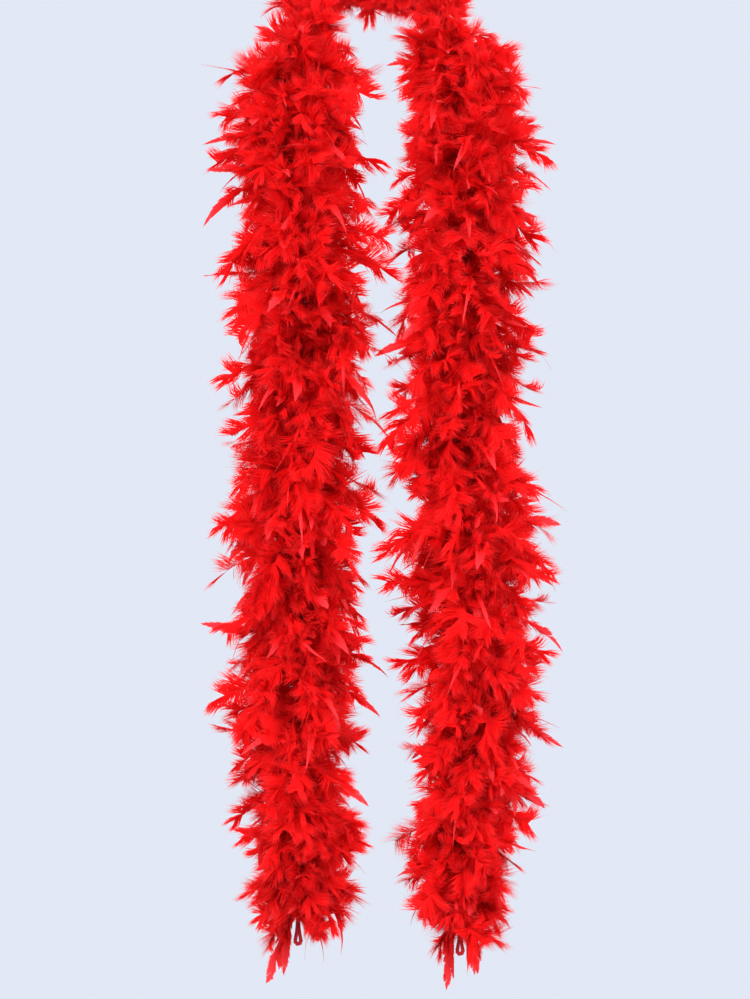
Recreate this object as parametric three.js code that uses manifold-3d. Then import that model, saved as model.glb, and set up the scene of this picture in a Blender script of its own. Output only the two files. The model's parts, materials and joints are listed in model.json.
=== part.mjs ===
// A feather boa as it hangs round a neck, in millimetres: +Z up, +X to the viewer's right,
// and -Y towards the viewer, the way the wearer faces. The origin is the middle of the neck
// opening, at the height where the core cord passes beside the neck.
//
// The boa is one core cord with feathers bound to it all the way along. The cord bends
// everywhere; here it is cut into stretches that hinge on its centreline.

import * as THREE from 'three';
import { mergeVertices } from 'three/addons/utils/BufferGeometryUtils.js';
import Module from 'manifold-3d';

const wasm = await Module();
wasm.setup();

// Core cord.
const CORD_DIAMETER = 4;
const CORD_SIDES = 8;
const HINGE_GAP = 1.2; // from a hinge's pivot to the end of the cord on either side

// Stretches of cord, measured along it from each end.
const TAIL_STRETCH = 182;
const TAIL_STRETCHES = 4;
const STEPS_PER_TAIL_STRETCH = 5;
const STEPS_ON_NECK = 50;

// Feather clusters: a band of bound quills with the feathers standing out of it.
const CLUSTERS_PER_STRETCH = 3;
const CLUSTERS_ON_NECK = 12;
const FEATHERS_PER_CLUSTER = 6;
const QUILL_BAND = { innerRadius: CORD_DIAMETER / 2 + 1.2, outerRadius: 6.5, length: 14, sides: 8 };
const FEATHER = { length: 78, lengthSpread: 13, width: 34, thickness: 1.5, rootRadius: 4.6, rootWidth: 5 };
const LONGEST_BY_HINGE = 72; // shorter feathers beside a hinge leave it room to bend
const SWEEP = THREE.MathUtils.degToRad(20); // how far feathers lean towards the tail's end
const SWEEP_SPREAD = THREE.MathUtils.degToRad(5);
const PITCH = THREE.MathUtils.degToRad(34); // turn of each feather about its own quill
const GOLDEN_ANGLE = Math.PI * (3 - Math.sqrt(5));

// Where the wearer is, feathers fan out on the far side of the cord only.
const NECK_FAN = THREE.MathUtils.degToRad(94);
const CHEST_FAN = THREE.MathUtils.degToRad(128);
const LOWEST_NECK_CLUSTER = -70;

// The ends: thread wound over the cut cord, and a small loop of cord hanging from it.
const WHIPPING = { innerRadius: 2.4, outerRadius: 3.9, length: 12 };
const LOOP = { width: 12, height: 31, cord: 2.4, neckWidth: 3.4 };

// The cord's route, from the end on the viewer's left, over the nape, to the other end.
const ROUTE = [
	[ - 76, - 124, - 914 ], [ - 73, - 124, - 880 ], [ - 72, - 124, - 840 ], [ - 76, - 124, - 780 ],
	[ - 78, - 124, - 700 ], [ - 77, - 124, - 610 ], [ - 77, - 124, - 520 ], [ - 73, - 124, - 430 ],
	[ - 71, - 124, - 330 ], [ - 75, - 123, - 235 ], [ - 78, - 115, - 170 ], [ - 79, - 100, - 115 ],
	[ - 74, - 78, - 65 ], [ - 67, - 48, - 22 ], [ - 65, - 12, 8 ], [ - 58, 28, 28 ],
	[ - 34, 58, 38 ], [ 0, 68, 42 ], [ 35, 58, 38 ], [ 60, 28, 28 ],
	[ 67, - 12, 8 ], [ 71, - 48, - 22 ], [ 80, - 78, - 65 ], [ 91, - 100, - 115 ],
	[ 94, - 115, - 170 ], [ 93, - 123, - 235 ], [ 90, - 124, - 330 ], [ 84, - 124, - 410 ],
	[ 90, - 124, - 480 ], [ 101, - 124, - 550 ], [ 100, - 124, - 610 ], [ 105, - 124, - 690 ],
	[ 100, - 124, - 770 ], [ 92, - 124, - 830 ], [ 84, - 124, - 885 ], [ 86, - 124, - 924 ]
];

const MATERIALS = {
	feather: new THREE.MeshStandardMaterial( { color: 0xe0141c, roughness: 0.75, metalness: 0 } ),
	cord: new THREE.MeshStandardMaterial( { color: 0xb40c14, roughness: 0.85, metalness: 0 } ),
	thread: new THREE.MeshStandardMaterial( { color: 0x8c0a10, roughness: 0.6, metalness: 0 } )
};

const route = new THREE.CatmullRomCurve3( ROUTE.map( ( point ) => new THREE.Vector3( ...point ) ) );
route.arcLengthDivisions = 4000;
const CORD_LENGTH = route.getLength();

// Solids from closed geometries, and back.

function solidOf( geometry ) {

	geometry.deleteAttribute( 'normal' );
	geometry.deleteAttribute( 'uv' );
	const merged = mergeVertices( geometry );
	return new wasm.Manifold( new wasm.Mesh( {
		numProp: 3,
		vertProperties: merged.attributes.position.array,
		triVerts: Uint32Array.from( merged.index.array )
	} ) );

}

function geometryOf( solid ) {

	const mesh = solid.getMesh();
	const geometry = new THREE.BufferGeometry();
	geometry.setAttribute( 'position', new THREE.BufferAttribute( mesh.vertProperties, 3 ) );
	geometry.setIndex( new THREE.BufferAttribute( mesh.triVerts, 1 ) );
	geometry.computeVertexNormals();
	return geometry;

}

// One feather: a leaf outline from its quill to its tip, along +X before it is turned.

function featherGeometry( length, sweep, azimuth ) {

	const { width, thickness, rootRadius, rootWidth } = FEATHER;
	const halves = [ [ rootRadius, rootWidth / 2 ], [ 0.42 * length, 0.47 * width ], [ 0.78 * length, 0.4 * width ] ];
	const outline = [ ...halves, [ length, 0 ], ...halves.map( ( [ x, y ] ) => [ x, - y ] ).reverse() ];
	const shape = new THREE.Shape( outline.map( ( [ x, y ] ) => new THREE.Vector2( x, y ) ) );
	const geometry = new THREE.ExtrudeGeometry( shape, { depth: thickness, bevelEnabled: false } );
	geometry.translate( 0, 0, - thickness / 2 );
	geometry.rotateX( PITCH );
	geometry.rotateY( sweep );
	geometry.rotateZ( azimuth );
	return geometry;

}

function quillBandGeometry() {

	return ringGeometry( QUILL_BAND.innerRadius, QUILL_BAND.outerRadius, QUILL_BAND.length, QUILL_BAND.sides );

}

function ringGeometry( innerRadius, outerRadius, length, sides ) {

	const half = length / 2;
	const profile = [ [ innerRadius, - half ], [ outerRadius, - half ], [ outerRadius, half ], [ innerRadius, half ], [ innerRadius, - half ] ];
	const geometry = new THREE.LatheGeometry( profile.map( ( [ x, y ] ) => new THREE.Vector2( x, y ) ), sides );
	geometry.rotateX( Math.PI / 2 );
	return geometry;

}

// A cluster on its own axes: the cord runs along Z, the tail's end is towards -Z, and +X points
// away from the wearer. A fan of less than half a turn leaves the wearer's side bare.

function clusterGeometry( index, fan, longest ) {

	let cluster = solidOf( quillBandGeometry() );

	for ( let i = 0; i < FEATHERS_PER_CLUSTER; i ++ ) {

		const serial = index * FEATHERS_PER_CLUSTER + i;
		const length = Math.min( FEATHER.length + FEATHER.lengthSpread * Math.cos( GOLDEN_ANGLE * serial ), longest );
		const sweep = SWEEP + SWEEP_SPREAD * ( i % 2 === 0 ? 1 : - 1 );
		const turn = fan < Math.PI
			? fan * ( 2 * i / ( FEATHERS_PER_CLUSTER - 1 ) - 1 )
			: index * GOLDEN_ANGLE + i * 2 * Math.PI / FEATHERS_PER_CLUSTER;
		cluster = cluster.add( solidOf( featherGeometry( length, sweep, turn ) ) );

	}

	return geometryOf( cluster );

}

// Places an object on the cord, its -Z along the cord towards the nearer end and its +X outwards.

function placeOnCord( object, distance ) {

	const share = distance / CORD_LENGTH;
	const point = route.getPointAt( share );
	const up = route.getTangentAt( share ).multiplyScalar( share < 0.5 ? 1 : - 1 );
	const outwards = new THREE.Vector3( point.x, point.y, 0 );
	outwards.addScaledVector( up, - outwards.dot( up ) ).normalize();
	const across = new THREE.Vector3().crossVectors( up, outwards );
	object.position.copy( point );
	object.quaternion.setFromRotationMatrix( new THREE.Matrix4().makeBasis( outwards, across, up ) );

}

function cordStretch( name, start, end, steps ) {

	const points = [];
	for ( let i = 0; i <= steps; i ++ ) points.push( route.getPointAt( ( start + ( end - start ) * i / steps ) / CORD_LENGTH ) );

	const section = new THREE.Shape();
	for ( let i = 0; i < CORD_SIDES; i ++ ) {

		const turn = i * 2 * Math.PI / CORD_SIDES;
		const corner = [ CORD_DIAMETER / 2 * Math.cos( turn ), CORD_DIAMETER / 2 * Math.sin( turn ) ];
		if ( i === 0 ) section.moveTo( ...corner );
		else section.lineTo( ...corner );

	}

	const extrudePath = new THREE.CatmullRomCurve3( points );
	const geometry = new THREE.ExtrudeGeometry( section, { steps, extrudePath, bevelEnabled: false } );
	const mesh = new THREE.Mesh( geometry, MATERIALS.cord );
	mesh.name = name;
	return mesh;

}

// Feather clusters spread evenly over a stretch, the first and last half a space from its ends.

function clusters( group, prefix, start, end, count, firstIndex, hingedAtStart, hingedAtEnd ) {

	const space = ( end - start ) / count;
	for ( let i = 0; i < count; i ++ ) {

		const distance = start + ( i + 0.5 ) * space;
		const byHinge = ( i === 0 && hingedAtStart ) || ( i === count - 1 && hingedAtEnd );
		const height = route.getPointAt( distance / CORD_LENGTH ).z;
		const onNeck = prefix === 'neck';
		const fan = ! onNeck ? Math.PI : height > LOWEST_NECK_CLUSTER ? NECK_FAN : CHEST_FAN;
		const mesh = new THREE.Mesh( clusterGeometry( firstIndex + i, fan, byHinge ? LONGEST_BY_HINGE : Infinity ), MATERIALS.feather );
		mesh.name = `${ prefix }_feather_cluster_${ i + 1 }`;
		placeOnCord( mesh, distance );
		group.add( mesh );

	}

}

function endWhipping( side, distance ) {

	const { innerRadius, outerRadius, length } = WHIPPING;
	const mesh = new THREE.Mesh( ringGeometry( innerRadius, outerRadius, length, QUILL_BAND.sides ), MATERIALS.thread );
	mesh.name = `${ side }_end_whipping`;
	placeOnCord( mesh, distance );
	return mesh;

}

// A teardrop loop of cord, hanging from its narrow neck at the top.

function endLoop( side, top ) {

	const { width, height, cord, neckWidth } = LOOP;
	const teardrop = ( inset ) => {

		const radius = width / 2 - inset;
		const centre = - height + width / 2;
		const neck = neckWidth / 2 - inset;
		const outline = new THREE.Shape();
		outline.moveTo( Math.max( neck, 0.2 ), - inset * 2.4 );
		outline.lineTo( - Math.max( neck, 0.2 ), - inset * 2.4 );
		outline.bezierCurveTo( - Math.max( neck, 0.2 ), centre / 2, - radius, centre / 2, - radius, centre );
		outline.absarc( 0, centre, radius, Math.PI, 2 * Math.PI, false );
		outline.bezierCurveTo( radius, centre / 2, Math.max( neck, 0.2 ), centre / 2, Math.max( neck, 0.2 ), - inset * 2.4 );
		return outline;

	};

	const shape = teardrop( 0 );
	shape.holes.push( teardrop( cord ) );
	const geometry = new THREE.ExtrudeGeometry( shape, { depth: cord, bevelEnabled: false, curveSegments: 8 } );
	geometry.translate( 0, 0, - cord / 2 );
	geometry.rotateX( Math.PI / 2 );
	const mesh = new THREE.Mesh( geometry, MATERIALS.cord );
	mesh.name = `${ side }_end_loop`;
	mesh.position.copy( top );
	mesh.position.z -= HINGE_GAP;
	return mesh;

}

// A tail, from its end at `end` back towards the nape: stretch 4 is the lowest.

function tail( side ) {

	const group = new THREE.Group();
	const fromLeft = side === 'left';
	const along = ( distance ) => fromLeft ? distance : CORD_LENGTH - distance;

	for ( let stretch = 1; stretch <= TAIL_STRETCHES; stretch ++ ) {

		const last = stretch === TAIL_STRETCHES;
		const lower = TAIL_STRETCH * ( TAIL_STRETCHES - stretch );
		const upper = lower + TAIL_STRETCH;
		const span = [ along( lower + HINGE_GAP ), along( upper - HINGE_GAP ) ].sort( ( a, b ) => a - b );
		group.add( cordStretch( `${ side }_tail_${ stretch }_core_cord`, ...span, STEPS_PER_TAIL_STRETCH ) );
		const firstIndex = ( fromLeft ? 0 : 1 ) * TAIL_STRETCHES * CLUSTERS_PER_STRETCH + ( stretch - 1 ) * CLUSTERS_PER_STRETCH;
		clusters( group, `${ side }_tail_${ stretch }`, along( upper ), along( lower ), CLUSTERS_PER_STRETCH, firstIndex, true, ! last );

	}

	group.add( endWhipping( side, along( HINGE_GAP + WHIPPING.length / 2 ) ) );
	group.add( endLoop( side, route.getPointAt( fromLeft ? 0 : 1 ) ) );
	return group;

}

function neckDrape() {

	const group = new THREE.Group();
	const start = TAIL_STRETCH * TAIL_STRETCHES;
	const end = CORD_LENGTH - start;
	group.add( cordStretch( 'neck_core_cord', start + HINGE_GAP, end - HINGE_GAP, STEPS_ON_NECK ) );
	const firstIndex = 2 * TAIL_STRETCHES * CLUSTERS_PER_STRETCH;
	clusters( group, 'neck', start, end, CLUSTERS_ON_NECK, firstIndex, true, true );
	return group;

}

const group = new THREE.Group();
group.add( neckDrape(), tail( 'left' ), tail( 'right' ) );

export default group;
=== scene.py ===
"""The looks of a feather boa that hangs round a neck: its cord, its feathers and its two ends.

Lengths are metres. +Z is up, +X is to the viewer's right, and -Y is the way the wearer faces.
"""

import json
import logging
import math
from dataclasses import dataclass, field, replace
from enum import Enum

import bpy
import numpy as np
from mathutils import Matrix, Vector

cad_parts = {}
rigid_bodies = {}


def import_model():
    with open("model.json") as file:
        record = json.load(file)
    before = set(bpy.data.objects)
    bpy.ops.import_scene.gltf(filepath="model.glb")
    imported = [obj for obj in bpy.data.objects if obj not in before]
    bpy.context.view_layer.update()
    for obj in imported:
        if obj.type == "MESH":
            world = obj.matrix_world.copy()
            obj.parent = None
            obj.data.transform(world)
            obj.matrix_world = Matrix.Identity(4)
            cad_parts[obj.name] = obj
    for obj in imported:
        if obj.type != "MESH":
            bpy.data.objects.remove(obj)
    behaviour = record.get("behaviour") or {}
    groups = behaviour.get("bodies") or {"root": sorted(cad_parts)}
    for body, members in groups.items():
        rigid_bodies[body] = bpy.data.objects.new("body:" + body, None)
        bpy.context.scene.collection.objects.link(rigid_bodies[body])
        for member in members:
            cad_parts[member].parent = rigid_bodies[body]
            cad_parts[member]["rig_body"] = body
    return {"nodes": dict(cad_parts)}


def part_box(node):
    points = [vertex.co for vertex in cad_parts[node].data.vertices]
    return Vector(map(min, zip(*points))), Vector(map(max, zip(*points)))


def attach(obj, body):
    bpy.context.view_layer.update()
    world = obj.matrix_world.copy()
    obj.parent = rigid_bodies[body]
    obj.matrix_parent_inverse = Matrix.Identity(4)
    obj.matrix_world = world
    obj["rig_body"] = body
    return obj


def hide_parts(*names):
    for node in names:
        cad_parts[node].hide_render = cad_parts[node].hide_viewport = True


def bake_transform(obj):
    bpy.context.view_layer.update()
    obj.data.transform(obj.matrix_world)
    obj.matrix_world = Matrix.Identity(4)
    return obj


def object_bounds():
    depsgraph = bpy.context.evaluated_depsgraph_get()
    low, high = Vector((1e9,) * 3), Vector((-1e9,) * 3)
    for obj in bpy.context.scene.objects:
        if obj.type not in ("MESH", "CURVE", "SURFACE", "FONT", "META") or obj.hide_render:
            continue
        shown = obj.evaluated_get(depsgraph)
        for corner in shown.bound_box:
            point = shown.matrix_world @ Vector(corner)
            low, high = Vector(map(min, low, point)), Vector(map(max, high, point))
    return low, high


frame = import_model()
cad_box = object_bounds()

log = logging.getLogger("feather_boa")

Colour = tuple[float, float, float]
Point = tuple[float, float, float]
Range = tuple[float, float]
Rows = np.ndarray
Random = np.random.Generator
Socket = bpy.types.NodeSocket
Material = bpy.types.Material
Piece = bpy.types.Object

GOLDEN_ANGLE = math.pi * (3 - math.sqrt(5))
TURN = 2 * math.pi
DOWNWARD = np.array([0.0, 0.0, -1.0])
BACKWARD = np.array([0.0, 1.0, 0.0])
UV_NAME = "OFBake"

# How the map of a wound cord or thread is shared out.
MAP_EDGE = 0.02
PLY_BAND = 0.46
THREAD_BAND = 0.45
PLY_SIDES = 8

# The cord's route, from the end on the viewer's left, over the nape, to the other end.
ROUTE: tuple[Point, ...] = (
    (-0.076, -0.124, -0.914), (-0.073, -0.124, -0.880), (-0.072, -0.124, -0.840),
    (-0.076, -0.124, -0.780), (-0.078, -0.124, -0.700), (-0.077, -0.124, -0.610),
    (-0.077, -0.124, -0.520), (-0.073, -0.124, -0.430), (-0.071, -0.124, -0.330),
    (-0.075, -0.123, -0.235), (-0.078, -0.115, -0.170), (-0.079, -0.100, -0.115),
    (-0.074, -0.078, -0.065), (-0.067, -0.048, -0.022), (-0.065, -0.012, 0.008),
    (-0.058, 0.028, 0.028), (-0.034, 0.058, 0.038), (0.000, 0.068, 0.042),
    (0.035, 0.058, 0.038), (0.060, 0.028, 0.028), (0.067, -0.012, 0.008),
    (0.071, -0.048, -0.022), (0.080, -0.078, -0.065), (0.091, -0.100, -0.115),
    (0.094, -0.115, -0.170), (0.093, -0.123, -0.235), (0.090, -0.124, -0.330),
    (0.084, -0.124, -0.410), (0.090, -0.124, -0.480), (0.101, -0.124, -0.550),
    (0.100, -0.124, -0.610), (0.105, -0.124, -0.690), (0.100, -0.124, -0.770),
    (0.092, -0.124, -0.830), (0.084, -0.124, -0.885), (0.086, -0.124, -0.924),
)


class Side(Enum):
    """The two ends of the boa, as the viewer sees them."""

    LEFT = "left"
    RIGHT = "right"


class Slot(Enum):
    """The record's material slots."""

    FEATHER = "feather"
    CORD = "cord"
    THREAD = "thread"


class PaintedTipLight(Enum):
    """Which way the painted light at a feather's tips runs: out along each barb, or up the whole feather. The
    tips are painted paler and pinker, as if light shone through them.
    """

    ALONG_BARB = "reach"
    UP_FEATHER = "rise"


def unit(rows: Rows) -> Rows:
    """Returns the rows scaled to a length of one."""
    return rows / np.maximum(np.linalg.norm(rows, axis=-1, keepdims=True), 1e-12)


def smooth(value: Rows | float) -> Rows:
    """Returns the smooth step of a value between 0 and 1."""
    held = np.clip(value, 0.0, 1.0)
    return held * held * (3 - 2 * held)


class Route:
    """The cord's centreline: a centripetal curve through its points, measured along its length."""

    STEPS_PER_SPAN = 150

    def __init__(self, points: tuple[Point, ...]) -> None:
        """Samples the curve.

        Args:
            points: the places the cord passes through, end to end.
        """
        knots = np.array(points)
        knots_and_ends = np.vstack([2 * knots[0] - knots[1], knots, 2 * knots[-1] - knots[-2]])
        shares = np.arange(self.STEPS_PER_SPAN)[:, None] / self.STEPS_PER_SPAN
        spans = [self._span(knots_and_ends[i : i + 4], shares) for i in range(len(knots) - 1)]
        self.places = np.vstack([*spans, knots[-1:]])
        steps = np.linalg.norm(np.diff(self.places, axis=0), axis=1)
        self.distances = np.concatenate([[0.0], np.cumsum(steps)])
        self.directions = unit(np.gradient(self.places, self.distances, axis=0))

    @staticmethod
    def _span(four: Rows, shares: Rows) -> Rows:
        """Samples the stretch between the middle two of four points.

        Args:
            four: the points.
            shares: how far along the stretch each sample is, from 0 to 1.

        Returns:
            The samples.
        """
        before, start, end, after = four
        gap_before, gap, gap_after = np.sqrt(np.linalg.norm(np.diff(four, axis=0), axis=1))
        leave = (start - before) / gap_before - (end - before) / (gap_before + gap) + (end - start) / gap
        arrive = (end - start) / gap - (after - start) / (gap + gap_after) + (after - end) / gap_after
        leave, arrive = leave * gap, arrive * gap
        square = 3 * (end - start) - 2 * leave - arrive
        cube = 2 * (start - end) + leave + arrive
        return start + shares * (leave + shares * (square + shares * cube))

    @property
    def length(self) -> float:
        """Returns the whole length of the cord."""
        return float(self.distances[-1])

    def _look_up(self, rows: Rows, distance: Rows | float) -> Rows:
        """Returns the rows, interpolated at a distance along the cord."""
        return np.stack([np.interp(distance, self.distances, column) for column in rows.T], axis=-1)

    def at(self, distance: Rows | float) -> Rows:
        """Returns the place at a distance along the cord."""
        return self._look_up(self.places, distance)

    def direction(self, distance: Rows | float) -> Rows:
        """Returns the cord's direction, towards the right-hand end."""
        return unit(self._look_up(self.directions, distance))

    def outward(self, distance: Rows | float) -> Rows:
        """Works out the level direction away from the neck's axis, made square to the cord.

        Args:
            distance: how far along the cord, at one place or several.

        Returns:
            The direction at each place.
        """
        away = self.at(distance) * np.array([1.0, 1.0, 0.0])
        along = self.direction(distance)
        return unit(away - np.sum(away * along, axis=-1, keepdims=True) * along)

    def helix(self, distance: Rows, angle: Rows, offset: Rows | float) -> tuple[Rows, Rows]:
        """Winds a line round the cord.

        Args:
            distance: how far along the cord each point is.
            angle: which way round it lies.
            offset: how far it is from the centreline.

        Returns:
            The points, and the direction of each from the centreline.
        """
        outward = self.outward(distance)
        across = np.cross(self.direction(distance), outward)
        radial = np.cos(angle)[:, None] * outward + np.sin(angle)[:, None] * across
        return self.at(distance) + radial * np.reshape(offset, (-1, 1)), radial

    def from_end(self, side: Side, distance: float) -> float:
        """Returns the distance along the whole cord of a place measured from one of its ends."""
        return distance if side is Side.LEFT else self.length - distance

    def nearest(self, place: Vector) -> float:
        """Returns the distance along the cord of the place on it nearest to a point."""
        gaps = np.linalg.norm(self.places - np.array(place), axis=1)
        return float(self.distances[int(np.argmin(gaps))])


class NodeBoard:
    """A material's nodes, added and wired by name."""

    def __init__(self, name: str) -> None:
        """Makes an empty material.

        Args:
            name: the material's name.
        """
        self.material = bpy.data.materials.new(name)
        self.material.use_nodes = True
        self.tree = self.material.node_tree
        self.tree.nodes.clear()

    def add(
        self, kind: str, inputs: dict[str | int, object] | None = None, **settings: object
    ) -> bpy.types.Node:
        """Adds a node.

        Args:
            kind: the node's type.
            inputs: for each socket, a value or the output that feeds it.
            settings: the node's own properties.

        Returns:
            The node.
        """
        node = self.tree.nodes.new(kind)
        for name, value in settings.items():
            setattr(node, name, value)
        for socket, value in (inputs or {}).items():
            if isinstance(value, Socket):
                self.tree.links.new(value, node.inputs[socket])
            else:
                node.inputs[socket].default_value = value
        return node

    def noise(self, place: Socket, scale: float, detail: float) -> Socket:
        """Returns a noise pattern's output."""
        inputs = {"Vector": place, "Scale": scale, "Detail": detail}
        return self.add("ShaderNodeTexNoise", inputs).outputs[0]

    def trait(self, name: str) -> Socket:
        """Returns the output of one of the mesh's own numbers."""
        return self.add("ShaderNodeAttribute", attribute_name=name).outputs["Fac"]

    def between(self, share: Socket, start: Range, end: Range, **settings: object) -> Socket:
        """Stretches one range of numbers over another.

        Args:
            share: the output that carries the number.
            start: the range it has.
            end: the range it gets.
            settings: the node's own properties.

        Returns:
            The output that carries the result.
        """
        names = ("From Min", "From Max", "To Min", "To Max")
        inputs = {"Value": share, **dict(zip(names, (*start, *end)))}
        return self.add("ShaderNodeMapRange", inputs, **settings).outputs[0]

    def sum_of(self, *terms: tuple[Socket, float], start: float = 0.0) -> Socket:
        """Adds up outputs, each times its own weight.

        Args:
            terms: pairs of an output and its weight.
            start: the number that the sum starts from.

        Returns:
            The output that carries the sum.
        """
        total: object = start
        for output, weight in terms:
            step = self.add("ShaderNodeMath", {0: output, 1: weight, 2: total}, operation="MULTIPLY_ADD")
            total = step.outputs[0]
        return total

    def ramp(self, share: Socket, *stops: tuple[float, Colour]) -> Socket:
        """Turns a number into a colour.

        Args:
            share: the output that carries the number.
            stops: pairs of a number and its colour, from low to high.

        Returns:
            The output that carries the colour.
        """
        node = self.add("ShaderNodeValToRGB", {0: share})
        elements = node.color_ramp.elements
        while len(elements) < len(stops):
            elements.new(1.0)
        for element, (position, colour) in zip(elements, stops):
            element.position = position
            element.color = (*colour, 1.0)
        return node.outputs[0]

    def finish(self, surface: bpy.types.Node, plain: Colour) -> Material:
        """Wires up the surface.

        Args:
            surface: the node that makes it.
            plain: the colour that stands for it in plain views.

        Returns:
            The finished material.
        """
        self.add("ShaderNodeOutputMaterial", {"Surface": surface.outputs[0]})
        self.material.diffuse_color = (*plain, 1.0)
        return self.material


NOISE_SPREAD: Range = (0.3, 0.7)


@dataclass(frozen=True)
class FeatherFinish:
    """The dyed finish of one part of a feather, with painted shade and painted light in its colour. Barbs
    glow where light comes through them.
    """

    name: str
    # deep is a painted shade red and light a painted lit red; body is the dyed red between them.
    deep: Colour
    body: Colour
    light: Colour
    # tip is painted light: the paler, pinker red that the tips are mixed towards, as if light shone through
    # them.
    tip: Colour
    painted_tip_light_by: PaintedTipLight
    mottle_scale: float
    roughness: Range
    sheen: float
    gloss: float
    glow: float
    ridges: float
    ridge_height: float
    grain_finer: float = 9.0
    painted_tip_light_from: Range = (0.55, 1.0)
    painted_tip_light_most: float = 0.85
    sheen_tint: Colour = (1.0, 0.25, 0.25)

    def _dye_and_painted_light(self, board: NodeBoard, mottle: Socket, grain: Socket) -> Socket:
        """Mixes the colour: dyed red with painted shade and painted light.

        Args:
            board: the material's nodes.
            mottle: the broad noise.
            grain: the fine noise.

        Returns:
            The output that carries the colour: dyed red mottled with painted shade and painted light, painted
                shade at each barb's root, and painted light paling the tips.
        """
        tint, reach = board.trait("tint"), board.trait("reach")
        # Painted shade and light: the mottle, the feather's tint and each barb's reach pick between the
        # painted shade red and the painted lit red, darkest at the barb roots.
        shade = board.sum_of((mottle, 0.9), (grain, 0.2), (tint, 0.22), (reach, 0.22), start=-0.16)
        body = board.ramp(shade, (0.1, self.deep), (0.5, self.body), (0.95, self.light))
        # Painted light: the tips turn paler and pinker, as if light shone through them.
        outer = board.trait(self.painted_tip_light_by.value)
        pale = board.between(outer, self.painted_tip_light_from, (0.0, self.painted_tip_light_most), interpolation_type="SMOOTHSTEP")
        mix = board.add("ShaderNodeMix", {0: pale, 6: body, 7: (*self.tip, 1.0)}, data_type="RGBA")
        return mix.outputs[2]

    def _relief(self, board: NodeBoard, grain: Socket) -> Socket:
        """Raises fine ridges along the feather.

        Args:
            board: the material's nodes.
            grain: the fine noise.

        Returns:
            The output that carries the bumps.
        """
        angle = board.sum_of((board.trait("rise"), self.ridges * TURN), (grain, 1.5))
        ridge = board.add("ShaderNodeMath", {0: angle}, operation="SINE").outputs[0]
        height = board.sum_of((ridge, 0.5), (grain, 0.8))
        inputs = {"Height": height, "Strength": 0.5, "Distance": self.ridge_height}
        return board.add("ShaderNodeBump", inputs).outputs[0]

    def material(self) -> Material:
        """Builds the finish.

        Returns:
            The material: mottled colour with painted shade and painted light, its tips painted paler, and
                fine ridges.
        """
        board = NodeBoard(self.name)
        spread = board.add("ShaderNodeUVMap", uv_map=UV_NAME).outputs[0]
        mottle = board.noise(spread, self.mottle_scale, 4.0)
        grain = board.noise(spread, self.mottle_scale * self.grain_finer, 2.0)
        dye_and_painted_light, relief = self._dye_and_painted_light(board, mottle, grain), self._relief(board, grain)
        surface = board.add("ShaderNodeBsdfPrincipled", {
            "Base Color": dye_and_painted_light,
            "Roughness": board.between(grain, NOISE_SPREAD, self.roughness),
            "Normal": relief,
            "Specular IOR Level": self.gloss,
            "Sheen Weight": self.sheen,
            "Sheen Roughness": 0.4,
            "Sheen Tint": (*self.sheen_tint, 1.0),
        })
        through = board.add("ShaderNodeBsdfTranslucent", {"Color": dye_and_painted_light, "Normal": relief})
        layers = {0: self.glow, 1: surface.outputs[0], 2: through.outputs[0]}
        return board.finish(board.add("ShaderNodeMixShader", layers), self.body)


@dataclass(frozen=True)
class YarnFinish:
    """The dyed finish of a cord or a thread, with fibres that run along it."""

    name: str
    deep: Colour
    light: Colour
    fibres: float
    roughness: Range
    sheen: float
    fibre_height: float

    def material(self) -> Material:
        """Builds the finish.

        Returns:
            The material: streaks of dyed colour, roughness and relief along the fibres.
        """
        board = NodeBoard(self.name)
        place = board.add("ShaderNodeUVMap", uv_map=UV_NAME).outputs[0]
        along = {"Vector": place, "Scale": (self.fibres, self.fibres * 0.5, 1.0)}
        streaks = board.noise(board.add("ShaderNodeMapping", along).outputs[0], 5.0, 4.0)
        blotches = board.noise(place, 14.0, 3.0)
        shade = board.sum_of((streaks, 0.8), (blotches, 0.5), start=-0.2)
        relief = {"Height": streaks, "Strength": 0.7, "Distance": self.fibre_height}
        surface = board.add("ShaderNodeBsdfPrincipled", {
            "Base Color": board.ramp(shade, (0.15, self.deep), (0.85, self.light)),
            "Roughness": board.between(streaks, NOISE_SPREAD, self.roughness),
            "Normal": board.add("ShaderNodeBump", relief).outputs[0],
            "Sheen Weight": self.sheen,
            "Specular IOR Level": 0.35,
        })
        return board.finish(surface, self.light)


# The feather finishes paint shade and light into their colour: deep is painted shade, light is painted lit
# red, and tip is painted light at the tips.
DOWN = FeatherFinish(
    name="dyed_down_painted_light", deep=(0.70, 0.004, 0.005), body=(0.92, 0.012, 0.014), light=(0.98, 0.028, 0.028),
    tip=(0.97, 0.040, 0.042), painted_tip_light_by=PaintedTipLight.ALONG_BARB, mottle_scale=26.0, roughness=(0.7, 0.95),
    sheen=0.12, gloss=0.15, glow=0.58, ridges=40.0, ridge_height=0.0002,
)
VANE = FeatherFinish(
    name="dyed_vane_painted_light", deep=(0.66, 0.003, 0.006), body=(0.9, 0.010, 0.014), light=(0.98, 0.030, 0.034),
    tip=(0.96, 0.050, 0.062), painted_tip_light_by=PaintedTipLight.UP_FEATHER, mottle_scale=18.0, roughness=(0.42, 0.66),
    sheen=0.15, gloss=0.3, glow=0.45, ridges=110.0, ridge_height=0.00025,
)
QUILL = FeatherFinish(
    name="dyed_quill_painted_light", deep=(0.40, 0.002, 0.005), body=(0.62, 0.006, 0.012), light=(0.80, 0.020, 0.028),
    tip=(0.55, 0.012, 0.020), painted_tip_light_by=PaintedTipLight.UP_FEATHER, mottle_scale=30.0, roughness=(0.25, 0.45),
    sheen=0.0, gloss=0.5, glow=0.15, ridges=16.0, ridge_height=0.0001,
)
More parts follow.
